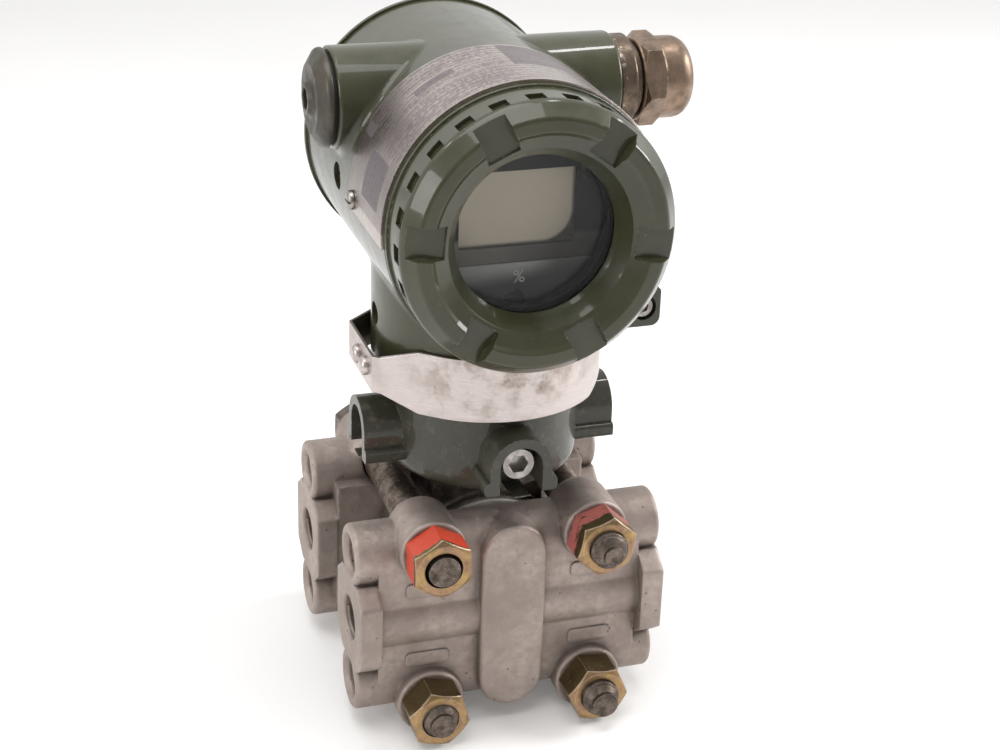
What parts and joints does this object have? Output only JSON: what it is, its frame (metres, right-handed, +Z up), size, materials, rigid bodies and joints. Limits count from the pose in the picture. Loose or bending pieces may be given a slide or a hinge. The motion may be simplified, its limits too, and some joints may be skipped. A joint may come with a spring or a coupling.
{
  "type": "differential pressure transmitter",
  "caption": "Pressure transmitter: round two-cover electronics housing with a window and side cable entries, on a neck above a capsule clamped between two cast process flanges.",
  "frame": {"origin": "on the resting plane, below the middle of the sensing capsule", "axes": "+X from the plugged entry to the cable gland, +Y from the window cover to the terminal cover, +Z up the neck"},
  "size_m": [0.1136, 0.1159, 0.1957],
  "materials": {
    "painted_housing": "glossy moss-green enamel over cast aluminium",
    "cast_stainless": "sand-cast stainless steel, matte and slightly pitted",
    "machined_stainless": "turned stainless steel",
    "zinc_bolting": "yellow zinc plate on steel",
    "stud_steel": "dark alloy steel",
    "sheet_stainless": "thin rolled stainless sheet, stained",
    "seal_rubber": "black nitrile",
    "ptfe_gasket": "white filled PTFE",
    "window_glass": "flat toughened glass",
    "dark_plastic": "moulded dark plastic",
    "lcd_glass": "liquid crystal panel, unpowered",
    "circuit_board": "green solder resist",
    "brass_parts": "turned brass",
    "nickel_brass": "bronze-coloured gland metal",
    "plug_metal": "olive-grey plated plug"
  },
  "bodies": {
    "transmitter": {"capsule_body": "machined_stainless", "isolating_diaphragms": "machined_stainless", "process_gaskets": "ptfe_gasket", "front_flange": "cast_stainless", "rear_flange": "cast_stainless", "flange_nuts": "zinc_bolting", "flange_bolts": "stud_steel", "housing_body": "painted_housing", "neck_screws": "stud_steel", "neck_seal": "seal_rubber", "header_connector": "dark_plastic", "display_bezel": "dark_plastic", "lcd_panel": "lcd_glass", "display_board": "circuit_board", "amplifier_board": "circuit_board", "board_pillars": "brass_parts", "board_screws": "machined_stainless", "terminal_block": "dark_plastic", "terminal_screws": "brass_parts", "ground_screw": "brass_parts", "plug_washer": "seal_rubber", "conduit_plug": "plug_metal", "gland_body": "nickel_brass", "gland_seal": "seal_rubber", "gland_washer": "machined_stainless", "gland_nut": "nickel_brass", "cover_lock_bolts": "stud_steel", "nameplate": "sheet_stainless", "nameplate_screws": "machined_stainless", "tag_band": "sheet_stainless", "tag_rivets": "sheet_stainless"},
    "front_seal": {"front_cover_seal": "seal_rubber"},
    "front_cover": {"front_cover": "painted_housing", "window_glass": "window_glass", "window_retainer": "machined_stainless"},
    "rear_seal": {"rear_cover_seal": "seal_rubber"},
    "rear_cover": {"rear_cover": "painted_housing"},
    "zero_screw": {"zero_adjust_screw": "machined_stainless"}
  },
  "joints": [
    {"name": "front_cover_travel", "type": "slide", "parent": "transmitter", "child": "front_seal", "axis": [0, -1, 0], "range_m": [0, 0.0105]},
    {"name": "front_cover_turn", "type": "hinge", "parent": "front_seal", "child": "front_cover", "pos_m": [0, -0.045, 0.1559], "axis": [0, -1, 0], "range_deg": [0, 2520]},
    {"name": "rear_cover_travel", "type": "slide", "parent": "transmitter", "child": "rear_seal", "axis": [0, 1, 0], "range_m": [0, 0.0105]},
    {"name": "rear_cover_turn", "type": "hinge", "parent": "rear_seal", "child": "rear_cover", "pos_m": [0, 0.056, 0.1559], "axis": [0, 1, 0], "range_deg": [0, 2520]},
    {"name": "zero_adjust_turn", "type": "hinge", "parent": "transmitter", "child": "zero_screw", "pos_m": [-0.036, 0.0144, 0.1553], "axis": [1, 0, 0], "continuous": true}
  ],
  "couplings": [
    {"joint": "front_cover_travel", "follows": "front_cover_turn", "m_per_rad": 0.00023873},
    {"joint": "rear_cover_travel", "follows": "rear_cover_turn", "m_per_rad": 0.00023873}
  ]
}
